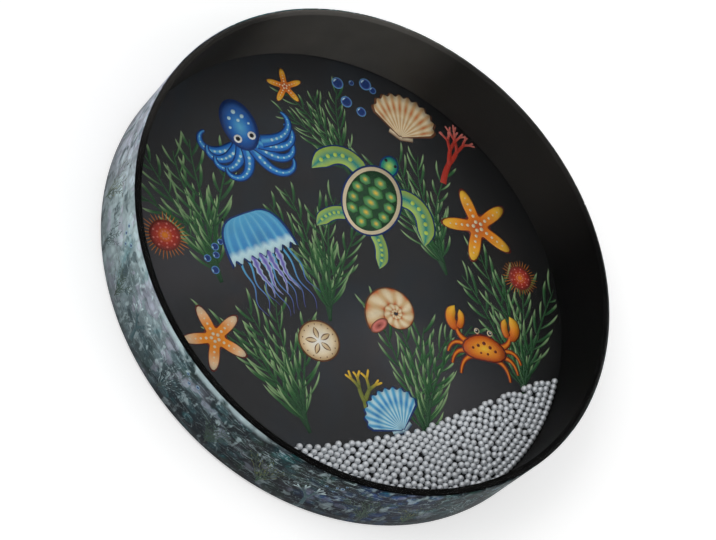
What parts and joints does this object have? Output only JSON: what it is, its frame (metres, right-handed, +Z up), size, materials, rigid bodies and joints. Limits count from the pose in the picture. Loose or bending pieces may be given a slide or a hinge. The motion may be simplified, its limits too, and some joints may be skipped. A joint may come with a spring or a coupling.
{
  "type": "ocean drum",
  "caption": "Shallow round drum with a clear upper film head, a printed lower head and loose steel balls sealed inside that roll over the lower head for a sound like surf.",
  "frame": {"origin": "centre of the lower head's outer face, which the drum rests on", "axes": "+Z up along the drum's axis towards the clear head; the heap of balls lies on the -Y side"},
  "size_m": [0.4059, 0.4058, 0.0667],
  "materials": {
    "black_hoop": "satin black",
    "clear_film": "clear gloss",
    "printed_film": "printed gloss",
    "printed_wrap": "printed satin",
    "ball_steel": "polished steel"
  },
  "bodies": {
    "drum": {"shell": "black_hoop", "upper_head": "clear_film", "lower_head": "printed_film", "shell_wrap": "printed_wrap"},
    "heap": {"ball_row_15": "ball_steel"},
    "wave_01": {"ball_row_01": "ball_steel"},
    "wave_02": {"ball_row_02": "ball_steel"},
    "wave_03": {"ball_row_03": "ball_steel"},
    "wave_04": {"ball_row_04": "ball_steel"},
    "wave_05": {"ball_row_05": "ball_steel"},
    "wave_06": {"ball_row_06": "ball_steel"},
    "wave_07": {"ball_row_07": "ball_steel"},
    "wave_08": {"ball_row_08": "ball_steel"},
    "wave_09": {"ball_row_09": "ball_steel"},
    "wave_10": {"ball_row_10": "ball_steel"},
    "wave_11": {"ball_row_11": "ball_steel"},
    "wave_12": {"ball_row_12": "ball_steel"},
    "wave_13": {"ball_row_13": "ball_steel"},
    "wave_14": {"ball_row_14": "ball_steel"}
  },
  "joints": [
    {"name": "swirl", "type": "hinge", "parent": "drum", "child": "heap", "pos_m": [0, 0, 0], "axis": [0, 0, 1], "continuous": true},
    {"name": "run_01", "type": "slide", "parent": "heap", "child": "wave_01", "axis": [0, 1, 0], "range_m": [0, 0.23]},
    {"name": "run_02", "type": "slide", "parent": "heap", "child": "wave_02", "axis": [0, 1, 0], "range_m": [0, 0.21358]},
    {"name": "run_03", "type": "slide", "parent": "heap", "child": "wave_03", "axis": [0, 1, 0], "range_m": [0, 0.19715]},
    {"name": "run_04", "type": "slide", "parent": "heap", "child": "wave_04", "axis": [0, 1, 0], "range_m": [0, 0.18072]},
    {"name": "run_05", "type": "slide", "parent": "heap", "child": "wave_05", "axis": [0, 1, 0], "range_m": [0, 0.1643]},
    {"name": "run_06", "type": "slide", "parent": "heap", "child": "wave_06", "axis": [0, 1, 0], "range_m": [0, 0.14787]},
    {"name": "run_07", "type": "slide", "parent": "heap", "child": "wave_07", "axis": [0, 1, 0], "range_m": [0, 0.13144]},
    {"name": "run_08", "type": "slide", "parent": "heap", "child": "wave_08", "axis": [0, 1, 0], "range_m": [0, 0.11501]},
    {"name": "run_09", "type": "slide", "parent": "heap", "child": "wave_09", "axis": [0, 1, 0], "range_m": [0, 0.09858]},
    {"name": "run_10", "type": "slide", "parent": "heap", "child": "wave_10", "axis": [0, 1, 0], "range_m": [0, 0.08215]},
    {"name": "run_11", "type": "slide", "parent": "heap", "child": "wave_11", "axis": [0, 1, 0], "range_m": [0, 0.06572]},
    {"name": "run_12", "type": "slide", "parent": "heap", "child": "wave_12", "axis": [0, 1, 0], "range_m": [0, 0.0493]},
    {"name": "run_13", "type": "slide", "parent": "heap", "child": "wave_13", "axis": [0, 1, 0], "range_m": [0, 0.03287]},
    {"name": "run_14", "type": "slide", "parent": "heap", "child": "wave_14", "axis": [0, 1, 0], "range_m": [0, 0.01644]}
  ],
  "couplings": [
    {"joint": "run_02", "follows": "run_01", "ratio": 0.92857},
    {"joint": "run_03", "follows": "run_01", "ratio": 0.85714},
    {"joint": "run_04", "follows": "run_01", "ratio": 0.78571},
    {"joint": "run_05", "follows": "run_01", "ratio": 0.71429},
    {"joint": "run_06", "follows": "run_01", "ratio": 0.64286},
    {"joint": "run_07", "follows": "run_01", "ratio": 0.57143},
    {"joint": "run_08", "follows": "run_01", "ratio": 0.5},
    {"joint": "run_09", "follows": "run_01", "ratio": 0.42857},
    {"joint": "run_10", "follows": "run_01", "ratio": 0.35714},
    {"joint": "run_11", "follows": "run_01", "ratio": 0.28571},
    {"joint": "run_12", "follows": "run_01", "ratio": 0.21429},
    {"joint": "run_13", "follows": "run_01", "ratio": 0.14286},
    {"joint": "run_14", "follows": "run_01", "ratio": 0.071429}
  ]
}
